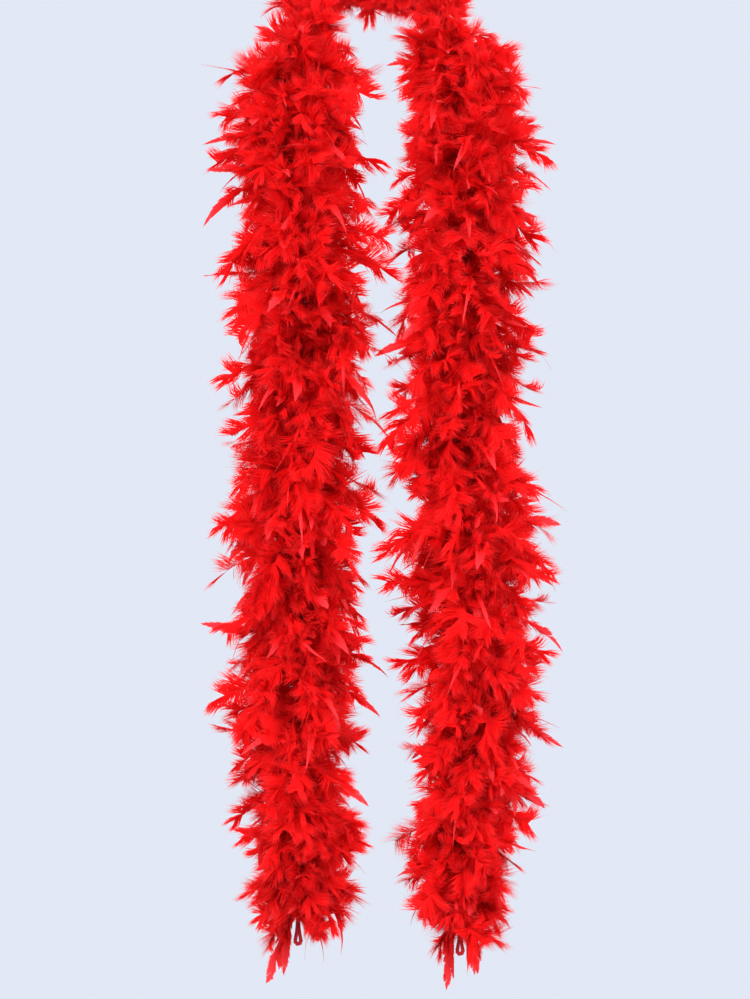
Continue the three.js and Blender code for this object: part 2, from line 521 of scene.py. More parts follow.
CORD_YARN = YarnFinish(
    name="dyed_cord", deep=(0.50, 0.006, 0.014), light=(0.88, 0.020, 0.034), fibres=9.0,
    roughness=(0.65, 0.95), sheen=0.15, fibre_height=0.0002,
)
THREAD_YARN = YarnFinish(
    name="dyed_thread", deep=(0.22, 0.002, 0.004), light=(0.55, 0.010, 0.016), fibres=14.0,
    roughness=(0.35, 0.6), sheen=0.1, fibre_height=0.0001,
)


@dataclass
class Patch:
    """Some triangles, with the numbers that the finishes read."""

    points: Rows
    triangles: Rows
    spread: Rows
    finish: int = 0
    tint: float = 0.0
    rise: Rows | float = 0.0
    reach: Rows | float = 0.0


@dataclass
class Patchwork:
    """Patches gathered for one mesh."""

    patches: list[Patch] = field(default_factory=list)

    def _column(self, trait: str) -> Rows:
        """Returns one number for each vertex of the mesh."""
        columns = [np.broadcast_to(np.asarray(getattr(p, trait), float), len(p.points)) for p in self.patches]
        return np.concatenate(columns).astype(np.float32)

    def build(self, name: str, materials: list[Material]) -> Piece:
        """Makes the mesh.

        Args:
            name: the piece's name.
            materials: its materials, in the order of the finish numbers.

        Returns:
            The piece, in the scene.
        """
        sizes = [len(patch.points) for patch in self.patches]
        firsts = np.cumsum([0, *sizes[:-1]])
        points = np.concatenate([patch.points for patch in self.patches])
        triangles = np.concatenate([patch.triangles + first for patch, first in zip(self.patches, firsts)])
        finishes = [np.full(len(patch.triangles), patch.finish, np.int32) for patch in self.patches]
        spread = np.concatenate([patch.spread for patch in self.patches])
        corners = triangles.ravel().astype(np.int32)
        mesh = bpy.data.meshes.new(name)
        mesh.vertices.add(len(points))
        mesh.vertices.foreach_set("co", points.astype(np.float32).ravel())
        mesh.loops.add(len(corners))
        mesh.loops.foreach_set("vertex_index", corners)
        mesh.polygons.add(len(triangles))
        mesh.polygons.foreach_set("loop_start", np.arange(0, len(corners), 3, dtype=np.int32))
        mesh.polygons.foreach_set("material_index", np.concatenate(finishes))
        mesh.polygons.foreach_set("use_smooth", np.ones(len(triangles), bool))
        layer = mesh.uv_layers.new(name=UV_NAME)
        layer.data.foreach_set("uv", spread[corners].astype(np.float32).ravel())
        for trait in ("tint", "rise", "reach"):
            attribute = mesh.attributes.new(trait, "FLOAT", "POINT")
            attribute.data.foreach_set("value", self._column(trait))
        for material in materials:
            mesh.materials.append(material)
        mesh.update(calc_edges=True)
        piece = bpy.data.objects.new(name, mesh)
        bpy.context.scene.collection.objects.link(piece)
        return piece


def tube(centres: Rows, normals: Rows, radii: Rows | float, sides: int) -> tuple[Rows, Rows]:
    """Sweeps a round section along a line and closes both ends.

    Args:
        centres: the line's points.
        normals: for each, a direction that is roughly square to the line.
        radii: the section's radius, everywhere or at each point.
        sides: how many sides the section has.

    Returns:
        The vertices and the triangles.
    """
    along = unit(np.gradient(centres, axis=0))
    across = unit(np.cross(along, normals))
    upright = np.cross(across, along)
    turns = np.arange(sides) * TURN / sides
    radii = np.broadcast_to(np.asarray(radii, float), (len(centres),))[:, None, None]
    rings = np.cos(turns)[None, :, None] * upright[:, None] + np.sin(turns)[None, :, None] * across[:, None]
    walls = (centres[:, None] + radii * rings).reshape(-1, 3)
    around, turned = np.arange(sides), (np.arange(sides) + 1) % sides
    ring_starts = np.arange(len(centres) - 1)[:, None] * sides
    first, after = ring_starts + around, ring_starts + turned
    quads = np.stack([first, after, after + sides, first + sides], axis=-1).reshape(-1, 4)
    last, start, end = len(walls) - sides, len(walls), len(walls) + 1
    caps = [
        np.stack([turned, around, np.full(sides, start)], axis=-1),
        np.stack([around + last, turned + last, np.full(sides, end)], axis=-1),
    ]
    triangles = np.vstack([quads[:, [0, 1, 2]], quads[:, [0, 2, 3]], *caps])
    return np.vstack([walls, centres[:1], centres[-1:]]), triangles


def with_caps(spread: Rows) -> Rows:
    """Returns the places on the map of a tube's walls, and of the middles of its two caps."""
    return np.vstack([spread, spread[:1], spread[-1:]])


def ply_patch(centres: Rows, radial: Rows, radii: Rows | float, share: Rows, number: int) -> Patch:
    """Makes one of a cord's two plies.

    Args:
        centres: the ply's centreline.
        radial: the direction of each point from the cord's own centreline.
        radii: the ply's radius, everywhere or at each point.
        share: how far along the cord each point is.
        number: the ply's number, 0 or 1.

    Returns:
        The patch. Each ply has its own half of the map.
    """
    points, triangles = tube(centres, radial, radii, PLY_SIDES)
    around = np.tile(np.abs(np.arange(PLY_SIDES) / PLY_SIDES * 2 - 1), len(share))
    sideways = MAP_EDGE + number / 2 + PLY_BAND * around
    return Patch(points, triangles, with_caps(np.stack([sideways, np.repeat(share, PLY_SIDES)], axis=-1)))


def thread_patch(centres: Rows, radial: Rows, radius: float, angle: Rows, share: Rows, sides: int) -> Patch:
    """Makes a wound thread.

    Args:
        centres: the thread's centreline.
        radial: the direction of each point from the line that the thread is wound round.
        radius: the thread's radius.
        angle: how far round it has been wound at each point.
        share: how far along the winding each point is.
        sides: how many sides the thread has.

    Returns:
        The patch.
    """
    points, triangles = tube(centres, radial, radius, sides)
    spread = np.stack([0.5 + THREAD_BAND * np.cos(angle), share], axis=-1)
    return Patch(points, triangles, with_caps(np.repeat(spread, sides, axis=0)))


@dataclass(frozen=True)
class Quill:
    """A feather's bent quill, sampled from root to tip."""

    stops: Rows
    shaft: Rows

    def at(self, share: Rows) -> tuple[Rows, Rows, Rows, Rows]:
        """Looks the quill up.

        Args:
            share: how far along the quill, from 0 to 1.

        Returns:
            The place, direction, side and face of the quill there.
        """
        rows = np.stack([np.interp(share, self.stops, column) for column in self.shaft.T], axis=-1)
        place, heading, side, face = np.split(rows, 4, axis=-1)
        return place, unit(heading), unit(side), unit(face)


@dataclass(frozen=True)
class Down:
    """How down grows: loose barbs on both sides of the quill, gathered into locks."""

    lowest: float = 0.05
    highest: float = 0.985
    past_vane_start: float = 0.16
    spacing_jitter: float = 0.4
    narrowing_with_vane: float = 0.66
    narrowing_alone: float = 0.34
    narrows_from: float = 0.36
    fills_within: float = 0.14
    lengths: Range = (0.72, 1.15)
    locks_a_side: int = 8
    lock_rise: float = 0.7
    lock_lean: float = 0.32
    lock_curl: float = 0.6
    curl: float = -0.2
    lean_at_root: float = math.radians(64)
    lean_lost: float = math.radians(24)
    barb_lean: float = 0.10
    barb_rise: float = 0.17
    barb_curl: float = 0.18
    rise_at_root: float = 0.6
    rise_gained: float = 0.9
    gather: float = 0.22
    stops: tuple[float, ...] = (0.0, 0.5, 1.0)
    widths: tuple[float, ...] = (0.00040, 0.00038)
    breadths: Range = (0.75, 1.3)

    def _gathered(self, rows: Rows, locks: Rows) -> Rows:
        """Draws the barbs of each lock together towards their tips.

        Args:
            rows: each barb's points, from its root to its tip.
            locks: the number of each barb's lock.

        Returns:
            The points, moved.
        """
        count = 2 * self.locks_a_side
        sums = np.zeros((count, len(self.stops), 3))
        np.add.at(sums, locks, rows)
        members = np.bincount(locks, minlength=count)[:, None, None]
        towards = (sums / np.maximum(members, 1))[locks] - rows
        return rows + towards * (self.gather * np.array(self.stops) ** 2)[None, :, None]

    def patch(self, feather: "Feather", quill: Quill, rng: Random) -> Patch:
        """Grows the down.

        Args:
            feather: the feather it grows on.
            quill: the feather's quill.
            rng: the feather's own random numbers.

        Returns:
            The patch.
        """
        count = 2 * feather.down_barbs
        hand = np.where(np.arange(count) % 2 == 0, 1.0, -1.0)
        lowest, highest = self.lowest, min(feather.vane_start + self.past_vane_start, self.highest)
        order = np.arange(count) + rng.uniform(-self.spacing_jitter, self.spacing_jitter, count)
        share = np.clip(lowest + (highest - lowest) * order / count, lowest, highest)
        place, heading, side, face = quill.at(share)
        narrowing = self.narrowing_with_vane if feather.vane_half_width > 0 else self.narrowing_alone
        upper = smooth((share - self.narrows_from) / (highest - self.narrows_from))
        fullness = smooth(share / self.fills_within) * (1 - narrowing * upper)
        length = feather.down_length * fullness * rng.uniform(*self.lengths, count)
        locks = np.floor(share / highest * (self.locks_a_side - 0.01)).astype(int)
        locks += self.locks_a_side * (hand > 0)
        lock_rise = rng.normal(0.0, self.lock_rise, 2 * self.locks_a_side)[locks]
        lock_lean = rng.normal(0.0, self.lock_lean, 2 * self.locks_a_side)[locks]
        lock_curl = rng.normal(self.curl, self.lock_curl, 2 * self.locks_a_side)[locks]
        lean = self.lean_at_root - self.lean_lost * share / highest + lock_lean
        lean += rng.normal(0, self.barb_lean, count)
        lift = lock_rise + rng.normal(0, self.barb_rise, count)
        curl = lock_curl + rng.normal(0, self.barb_curl, count)

        rows, headings = [place], []
        for low, high in zip(self.stops[:-1], self.stops[1:]):
            middle = (low + high) / 2
            angle = (lean + curl * middle)[:, None]
            raised = (lift * (self.rise_at_root + self.rise_gained * middle))[:, None]
            across = np.cos(raised) * side * hand[:, None] + np.sin(raised) * face
            headings.append(np.cos(angle) * heading + np.sin(angle) * across)
            rows.append(rows[-1] + (length * (high - low))[:, None] * headings[-1])
        rows = self._gathered(np.stack(rows, axis=1), locks)

        breadth = rng.uniform(*self.breadths, count)[:, None]
        edges = []
        for index, width in enumerate(self.widths):
            across = unit(np.cross(headings[index], face)) * width * breadth
            edges += [rows[:, index] - across, rows[:, index] + across]
        points = np.stack([*edges, rows[:, -1]], axis=1)
        ribbon = np.array([[0, 1, 3], [0, 3, 2], [2, 3, 4]])
        corners = points.shape[1]
        triangles = (ribbon[None] + corners * np.arange(count)[:, None, None]).reshape(-1, 3)
        reach = np.tile(np.repeat(self.stops, [2, 2, 1]), (count, 1))
        out = reach * length[:, None]
        lengthways = (share * feather.length)[:, None] + out * np.cos(lean)[:, None]
        sideways = out * np.abs(np.sin(lean))[:, None] * hand[:, None]
        spread = feather.spread(lengthways, sideways).reshape(-1, 2)
        rise = np.repeat(share, corners)
        return Patch(points.reshape(-1, 3), triangles, spread, 0, feather.tint, rise, reach.ravel())


@dataclass(frozen=True)
class Vane:
    """How a vane grows: barbs that lie side by side in a pointed blade, split into a few tufts."""

    tufts: int = 4
    barbs: int = 7
    stops: tuple[float, ...] = (0.0, 0.45, 0.8, 1.0)
    highest: float = 0.992
    base_width: float = 0.5
    widens_within: float = 0.3
    cups: Range = (-0.25, 0.5)
    cup_depth: float = 0.3
    ragged: float = 0.09
    splits: tuple[float, ...] = (0.03, 0.05, 0.13)
    lean_at_root: float = math.radians(40)
    lean_lost: float = math.radians(16)
    width_lean: float = math.radians(38)
    width_lean_lost: float = math.radians(14)

    def _triangles(self) -> Rows:
        """Joins the barbs of each tuft.

        Returns:
            The triangles: a web between the barbs, and one narrow triangle at the tip of each.
        """
        columns = len(self.stops)
        patch = np.arange(self.barbs - 1)[:, None] * columns + np.arange(columns - 1)
        corner = np.arange(self.tufts)[:, None, None] * self.barbs * columns + patch
        web, fringe = corner[..., :-1].ravel(), corner[..., -1].ravel()
        return np.vstack([
            np.stack([web, web + 1, web + columns + 1], axis=-1),
            np.stack([web, web + columns + 1, web + columns], axis=-1),
            np.stack([fringe, fringe + 1, fringe + columns], axis=-1),
        ])

    def patches(self, feather: "Feather", quill: Quill, rng: Random) -> list[Patch]:
        """Grows the vane.

        Args:
            feather: the feather it grows on.
            quill: the feather's quill.
            rng: the feather's own random numbers.

        Returns:
            One patch for each side of the quill.
        """
        half_width, columns = feather.vane_half_width, len(self.stops)
        upward = (np.arange(self.tufts)[:, None] + np.arange(self.barbs) / (self.barbs - 1)) / self.tufts
        share = feather.vane_start + (self.highest - feather.vane_start) * upward
        place, heading, side, face = quill.at(share.ravel())
        widened = self.base_width + (1 - self.base_width) * smooth(upward / self.widens_within)
        shape = widened * (1 - upward**1.5)
        cup = rng.uniform(*self.cups)
        found = []
        for hand in (1.0, -1.0):
            ragged = 1 + rng.normal(0, self.ragged, (self.tufts, self.barbs))
            split = rng.normal(0, rng.choice(self.splits), self.tufts)[:, None]
            lean = self.lean_at_root - self.lean_lost * upward + split
            length = half_width * shape * ragged / np.sin(self.width_lean - self.width_lean_lost * upward)
            out = (length[..., None] * np.array(self.stops)).reshape(-1, columns, 1)
            angle = lean.reshape(-1, 1, 1)
            curve = cup * (out / half_width) ** 2 * half_width * self.cup_depth
            points = (
                place[:, None]
                + out * np.cos(angle) * heading[:, None]
                + out * np.sin(angle) * side[:, None] * hand
                + curve * face[:, None]
            ).reshape(-1, 3)
            lengthways = (share.reshape(-1, 1) * feather.length + (out * np.cos(angle))[..., 0]).ravel()
            spread = feather.spread(lengthways, (out * np.sin(angle)).ravel() * hand)
            rise, reach = np.repeat(share.ravel(), columns), np.tile(self.stops, share.size)
            found.append(Patch(points, self._triangles(), spread, 1, feather.tint, rise, reach))
        return found


@dataclass(frozen=True)
class Feather:
    """One feather: a curved quill with loose down on its lower part and a pointed vane above."""

    root: Rows
    along: Rows
    stand: Rows
    length: float
    lift: float
    droop: float
    sway: float
    roll: float
    twist: float
    vane_half_width: float
    vane_start: float
    down_length: float
    tint: float
    cell: int
    seed: tuple[int, int]
    down_barbs: int = 216
    bound: float = 0.12
    gravity: float = 0.35
    samples: int = 22
    quill_rings: int = 13
    quill_sides: int = 3
    quill_radii: Range = (0.0006, 0.0001)
    cells_across: int = 10
    map_length: float = 0.135
    map_width: float = 0.09
    map_margin: float = 0.02
    below_root: float = 0.004

    def quill(self) -> Quill:
        """Bends the quill: along the cord where it is bound, then out, then down.

        Returns:
            The quill, sampled.
        """
        share = np.linspace(0, 1, self.samples)
        lean = self.lift * smooth(share / self.bound) - self.droop * share**1.5
        side = np.cross(self.along, self.stand)
        yaw = self.sway * share**1.3
        outward = np.cos(yaw)[:, None] * self.stand + np.sin(yaw)[:, None] * side
        heading = np.cos(lean)[:, None] * self.along + np.sin(lean)[:, None] * outward
        heading = unit(heading + self.gravity * (share**1.5)[:, None] * DOWNWARD)
        steps = self.length / (self.samples - 1) * (heading[1:] + heading[:-1]) / 2
        places = self.root + np.vstack([np.zeros(3), np.cumsum(steps, axis=0)])
        flat = unit(np.cross(heading, outward) + 1e-6)
        face = np.cross(flat, heading)
        roll = (self.roll + self.twist * share)[:, None]
        sides = np.cos(roll) * flat + np.sin(roll) * face
        return Quill(share, np.hstack([places, heading, sides, np.cross(sides, heading)]))

    def spread(self, lengthways: Rows, sideways: Rows) -> Rows:
        """Lays the feather out flat in its own square of the piece's map.

        Args:
            lengthways: how far each vertex is from the root along the feather.
            sideways: how far it is from the quill.

        Returns:
            The places on the map, from 0 to 1.
        """
        row, column = divmod(self.cell, self.cells_across)
        upright = (lengthways + self.below_root) / self.map_length
        inside = np.stack([sideways / self.map_width + 0.5, upright], axis=-1)
        held = np.clip(inside, self.map_margin, 1 - self.map_margin)
        return (held + np.array([column, row])) / self.cells_across

    def _quill_patch(self, quill: Quill) -> Patch:
        """Makes the quill, thick at its root and fine at its tip.

        Args:
            quill: the quill's samples.

        Returns:
            The patch.
        """
        share = np.linspace(0, 1, self.quill_rings)
        place, _, side, _ = quill.at(share)
        thick, thin = self.quill_radii
        points, triangles = tube(place, side, thick + (thin - thick) * share**0.7, self.quill_sides)
        rise = np.concatenate([np.repeat(share, self.quill_sides), [0.0, 1.0]])
        spread = self.spread(rise * self.length, np.zeros(len(rise)))
        return Patch(points, triangles, spread, 2, self.tint, rise)

    def patches(self) -> list[Patch]:
        """Makes the whole feather.

        Returns:
            The quill's, the down's and, if it has one, the vane's patches.
        """
        quill, rng = self.quill(), np.random.default_rng(self.seed)
        found = [self._quill_patch(quill), Down().patch(self, quill, rng)]
        return found + Vane().patches(self, quill, rng) if self.vane_half_width > 0 else found


@dataclass(frozen=True)
class Wearer:
    """The room that the wearer's neck takes, which feathers are pressed aside from."""

    centre: tuple[float, float] = (-0.004, 0.0)
    radius: float = 0.043
    pressed_to: float = 0.066
    top_of_chest: float = -0.050
    fade: float = 0.040

    def press(self, points: Rows) -> Rows:
        """Moves feathers out of the neck.

        Args:
            points: the feathers' vertices.

        Returns:
            The same vertices, those near the neck pushed away from its axis.
        """
        level = points[:, :2] - np.array(self.centre)
        distance = np.linalg.norm(level, axis=1)
        pushed = self.radius + distance * (1 - self.radius / self.pressed_to)
        share = smooth((points[:, 2] - self.top_of_chest + self.fade) / self.fade)
        wanted = np.where(distance < self.pressed_to, distance + (pushed - distance) * share, distance)
        moved = points.copy()
        moved[:, :2] = np.array(self.centre) + level * (wanted / np.maximum(distance, 1e-6))[:, None]
        return moved


@dataclass(frozen=True)
class Parting:
    """The gap that the feathers leave round an end loop, so that it shows and can swing."""

    middle: float
    top: float
    half_width: float = 0.0060
    combed_to: float = 0.024
    fade: float = 0.010

    def comb(self, points: Rows) -> Rows:
        """Moves one feather out of the gap, to the side on which most of it lies.

        Args:
            points: the feather's vertices.

        Returns:
            The same vertices, those in the gap moved to its edge and beyond.
        """
        aside = points[:, 0] - self.middle
        share = smooth((self.top - points[:, 2]) / self.fade)
        hand = 1.0 if float(np.sum(aside * share)) >= 0 else -1.0
        beside = np.maximum(aside * hand, 0.0)
        squeezed = self.half_width + beside * (1 - self.half_width / self.combed_to)
        wanted = hand * np.where(beside < self.combed_to, squeezed, beside)
        moved = points.copy()
        moved[:, 0] += (wanted - aside) * share
        return moved


@dataclass(frozen=True)
class Make:
    """How one kind of feather differs from the usual one.

    A pair is a range to draw from, a single number is taken as it is, and None keeps the usual value.
    """

    size: Range | None = None
    vane: Range | float | None = None
    vane_start: Range | float | None = None
    size_share: float = 1.0
    lift_share: float = 1.0
    droop_share: float = 1.0
    sway_share: float = 1.0
    down_share: float = 1.0
    looseness: float = 1.0
    rolled: float = 0.0


class Kind(Enum):
    """The kinds of feathers on the boa."""

    HANGING_BLADE = Make(
        size=(1.3, 1.6), vane=(0.0092, 0.0118), vane_start=0.38, lift_share=0.22, down_share=0.55,
        looseness=0.3, rolled=math.pi / 2,
    )
    WISP = Make(size=(1.15, 1.35), vane=(0.0016, 0.0027), vane_start=0.5, sway_share=2.4, droop_share=1.8)
    LONG = Make(size=(1.06, 1.24))
    SHORT = Make(size=(0.5, 0.75), vane_start=(0.6, 0.7))
    FLUFF = Make(size_share=0.87, vane=0.0, vane_start=0.82)
    USUAL = Make()


# Out of all the feathers, the share that is of each kind or of one before it.
KINDS_UP_TO: tuple[tuple[float, Kind], ...] = (
    (0.06, Kind.WISP), (0.12, Kind.LONG), (0.22, Kind.SHORT), (0.86, Kind.FLUFF), (1.0, Kind.USUAL),
)

# How far the feathers stand out at each height.
REACHES: tuple[tuple[float, float], ...] = (
    (-0.91, 0.048), (-0.87, 0.056), (-0.82, 0.062), (-0.77, 0.064), (-0.67, 0.072), (-0.57, 0.077),
    (-0.52, 0.083), (-0.47, 0.079), (-0.42, 0.078), (-0.37, 0.078), (-0.32, 0.082), (-0.27, 0.083),
    (-0.17, 0.083), (-0.09, 0.082), (-0.04, 0.062), (-0.01, 0.036), (0.05, 0.032),
)


def drawn(rng: Random, choice: Range | float | None, usual: float) -> float:
    """Draws a value from a range, or takes a fixed value or the usual one.

    Args:
        rng: the random numbers.
        choice: the range, the fixed value or None.
        usual: the usual value.

    Returns:
        The value.
    """
    if choice is None:
        return usual
    return rng.uniform(*choice) if isinstance(choice, tuple) else choice


@dataclass(frozen=True)
class Ripple:
    """A change in how far the feathers reach that comes and goes along the cord."""

    height: float
    wavelength: float
    skew: float

    def at(self, distance: float, round_cord: float) -> float:
        """Returns the change at a distance along the cord, skewed by the side of the cord."""
        return self.height * math.sin(TURN * distance / self.wavelength + self.skew * round_cord)


@dataclass(frozen=True)
class Plumage:
    """How the feathers sit on the cord: their spacing, and how far they reach at each height."""

    route: Route
    low: Rows
    high: Rows
    wearer: Wearer = Wearer()
    partings: tuple[Parting, Parting] = (Parting(-0.076, -0.911), Parting(0.086, -0.925))
    seed: int = 20
    spacing: float = 0.0015
    spacing_jitter: float = 0.3
    first: float = 0.003
    cord_radius: float = 0.0024
    turn_jitter: float = 0.25
    neck_height: float = -0.02
    neck_fade: float = 0.06
    nape_depth: float = 0.05
    nape_reach: float = 0.064
    nape_stretch: float = 0.16
    facing_neck: float = 0.1
    turned_outward: float = 0.4
    short_tufts: Ripple = Ripple(0.15, 0.047, 2.1)
    long_tufts: Ripple = Ripple(0.14, 0.081, 3.0)
    fuller_upright: float = 0.5
    flat_on_chest: float = 0.18
    flat_on_shoulder: float = 0.88
    shorter_inward: float = 0.55
    shorter_outward: float = 0.55
    end_stretch: float = 0.035
    near_end: float = 0.2
    left_of_loop: float = 0.15
    beside_loop: float = 0.3
    hanging_share: float = 0.45
    sizes: Range = (0.82, 1.04)
    droop: float = math.radians(18)
    droop_spread: float = math.radians(20)
    lift: float = math.radians(75)
    lift_spread: float = math.radians(11)
    vanes: Range = (0.0040, 0.0080)
    vane_starts: Range = (0.45, 0.60)
    downs: Range = (0.028, 0.038)
    sway_spread: float = 0.45
    roll_spread: float = 0.6
    twist_spread: float = 0.95
    tint_spread: float = 0.5
    smaller_at_end: float = 0.14
    flatter_at_end: float = 0.12
    straighter_at_end: float = 0.3
    reach_of_length: float = 0.84
    longest: float = 0.118
    narrowest_vane: float = 0.35
    full_vane_reach: float = 0.1
    shortest_down: float = 0.2
    full_down_reach: float = 0.06
    most_trims: int = 9
    trim: float = 0.92

    def serials(self, start: float, end: float) -> list[int]:
        """Returns the numbers of the feathers bound between two distances along the cord."""
        count = int((self.route.length - 2 * self.first) / self.spacing) + 1
        return [i for i in range(count) if start <= self.first + i * self.spacing < end]

    def _reach(self, distance: float, turn: float, place: Rows, stand: Rows) -> float:
        """Works out how far a feather stands out.

        Args:
            distance: where it is bound, along the cord.
            turn: which way round the cord it points.
            place: where it is bound.
            stand: the direction in which it stands off the cord.

        Returns:
            The reach, from the cord outwards.
        """
        reach = float(np.interp(place[2], *zip(*REACHES)))
        tufts = self.short_tufts.at(distance, math.sin(turn)) + self.long_tufts.at(distance, math.cos(turn))
        on_neck = float(smooth(1 + place[2] / self.neck_fade))
        behind = float(smooth(place[1] / self.nape_depth))
        reach *= 1 + self.fuller_upright * abs(float(stand[2])) * on_neck
        reach += (self.nape_reach - reach) * behind
        on_chest = self.flat_on_chest * max(0.0, float(stand[1])) * (1 - on_neck)
        on_shoulder = self.flat_on_shoulder * max(0.0, -float(stand[2])) * on_neck
        inward = self.shorter_inward * max(0.0, -math.cos(turn)) * on_neck
        outward = self.shorter_outward * max(0.0, math.cos(turn)) * on_neck * (1 - behind)
        return reach * (1 + tufts) * (1 - on_chest - on_shoulder) * (1 - inward) * (1 - outward)

    def _make(self, draw: float, closing: float, place: Rows, stand: Rows) -> Make:
        """Chooses the kind of a feather.

        Args:
            draw: a random number from 0 to 1.
            closing: how near it is to an end of the cord, from 0 to 1.
            place: where it is bound.
            stand: the direction in which it stands off the cord.

        Returns:
            What sets that kind apart.
        """
        aside = float(stand[0])
        beside = aside < -self.left_of_loop if place[0] < 0 else abs(aside) > self.beside_loop
        if closing > self.near_end and draw < self.hanging_share and beside:
            return Kind.HANGING_BLADE.value
        return next(kind.value for up_to, kind in KINDS_UP_TO if draw < up_to)

    def feather(self, serial: int, cell: int) -> Feather:
        """Chooses one feather.

        Args:
            serial: its number along the cord.
            cell: its square on the piece's map.

        Returns:
            The feather.
        """
        rng = np.random.default_rng((self.seed, serial))
        jitter = rng.uniform(-self.spacing_jitter, self.spacing_jitter)
        distance = self.first + (serial + jitter) * self.spacing
        from_nape = distance - self.route.length / 2
        towards_right = from_nape > rng.normal(0, self.nape_stretch / 3)
        along = self.route.direction(distance) * (1 if towards_right else -1)
        outward = self.route.outward(distance)
        place = self.route.at(distance)
        turn = serial * GOLDEN_ANGLE + rng.normal(0, self.turn_jitter)
        against_neck = place[2] > self.neck_height and math.cos(turn) < -self.facing_neck
        if against_neck and rng.uniform() < self.turned_outward:
            turn = math.pi - turn
        stand = math.cos(turn) * outward + math.sin(turn) * np.cross(along, outward)
        reach = self._reach(distance, turn, place, stand)
        to_end = min(distance, self.route.length - distance)
        closing = 1 - smooth(to_end / self.end_stretch)
        make = self._make(rng.uniform(), closing, place, stand)
        size = rng.uniform(*self.sizes) * make.size_share
        droop = rng.normal(self.droop, self.droop_spread) * make.droop_share
        lift = rng.normal(self.lift, self.lift_spread) * make.lift_share
        vane, vane_start = rng.uniform(*self.vanes), rng.uniform(*self.vane_starts)
        down = rng.uniform(*self.downs) * make.down_share
        sway = rng.normal(0, self.sway_spread) * make.sway_share
        size = drawn(rng, make.size, size) * (1 - self.smaller_at_end * closing)
        vane = drawn(rng, make.vane, vane)
        vane_start = drawn(rng, make.vane_start, vane_start)
        return Feather(
            root=place + stand * self.cord_radius,
            along=along,
            stand=stand,
            length=min(reach * size / self.reach_of_length, self.longest),
            lift=lift * (1 - self.flatter_at_end * closing),
            droop=droop * (1 - self.straighter_at_end * closing),
            sway=sway,
            roll=rng.normal(0, self.roll_spread) * make.looseness + make.rolled,
            twist=rng.normal(0, self.twist_spread) * make.looseness,
            vane_half_width=vane * min(1.0, self.narrowest_vane + reach / self.full_vane_reach),
            vane_start=vane_start,
            down_length=down * min(1.0, self.shortest_down + reach / self.full_down_reach),
            tint=float(np.clip(rng.normal(0, self.tint_spread), -1, 1)),
            cell=cell,
            seed=(self.seed + 1, serial),
        )

    def patches(self, serial: int, cell: int) -> list[Patch]:
        """Makes one feather, shortened until it stays in the boa's room.

        Args:
            serial: the feather's number along the cord.
            cell: its square on the piece's map.

        Returns:
            The feather's patches.
        """
        feather = self.feather(serial, cell)
        for _ in range(self.most_trims):
            found = feather.patches()
            points = self.wearer.press(np.concatenate([patch.points for patch in found]))
            points = self.partings[int(points[0, 0] > 0)].comb(points)
            if (points > self.low).all() and (points < self.high).all():
                break
            feather = replace(feather, length=feather.length * self.trim)
        splits = np.cumsum([len(patch.points) for patch in found])[:-1]
        return [replace(patch, points=rows) for patch, rows in zip(found, np.split(points, splits))]


@dataclass(frozen=True)
class FeatherStretch:
    """The feathers of one stretch of cord, on one body or over the joint between two."""

    name: str
    start: float
    end: float
    bodies: tuple[str, ...]

    def build(self, plumage: Plumage, materials: list[Material]) -> Piece:
        """Makes the feathers and attaches them to their body, if the stretch has only one.

        Args:
            plumage: how the feathers sit on the cord.
            materials: the down's, the vane's and the quill's.

        Returns:
            The piece.
        """
        patchwork = Patchwork()
        for cell, serial in enumerate(plumage.serials(self.start, self.end)):
            patchwork.patches += plumage.patches(serial, cell)
        piece = patchwork.build(self.name, materials)
        if len(self.bodies) == 1:
            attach(piece, self.bodies[0])
        else:
            rightward = self.name.startswith(Side.RIGHT.value)
            ends = (self.start, self.end) if rightward else (self.end, self.start)
            plumage.route.at(ends[0])
            plumage.route.at(ends[1])
            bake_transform(piece)
        return piece


@dataclass(frozen=True)
class CordStretch:
    """One stretch of the cord, on one body."""

    name: str
    start: float
    end: float
    body: str

    @property
    def length(self) -> float:
        """Returns the length of the stretch."""
        return self.end - self.start


@dataclass(frozen=True)
class CoreCord:
    """The twisted cord: two plies wound round each other."""

    route: Route
    diameter: float = 0.004
    ply_radius: float = 0.00108
    pitch: float = 0.009
    step: float = 0.0011
    path_step: float = 0.006
    fewest_path_points: int = 8
    blunt: float = 0.02

    def build(self, stretch: CordStretch, material: Material) -> Piece:
        """Makes one stretch of the cord.

        Args:
            stretch: the stretch.
            material: the cord's finish.

        Returns:
            The piece.
        """
        start, end = stretch.start, stretch.end
        distance = np.linspace(start, end, int(stretch.length / self.step) + 1)
        share = (distance - start) / stretch.length
        from_ends = np.minimum(distance - start, end - distance)
        taper = np.sqrt(np.clip(from_ends / self.ply_radius, self.blunt, 1.0))
        patchwork = Patchwork()
        for number in range(2):
            angle = TURN * distance / self.pitch + number * math.pi
            centres, radial = self.route.helix(distance, angle, self.diameter / 2 - self.ply_radius)
            patchwork.patches.append(ply_patch(centres, radial, self.ply_radius * taper, share, number))
        piece = patchwork.build(stretch.name, [material])
        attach(piece, stretch.body)
        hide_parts(stretch.name.replace("twisted", "core"))
        path_points = max(self.fewest_path_points, int(stretch.length / self.path_step))
        path = self.route.at(np.linspace(start, end, path_points))
        return piece


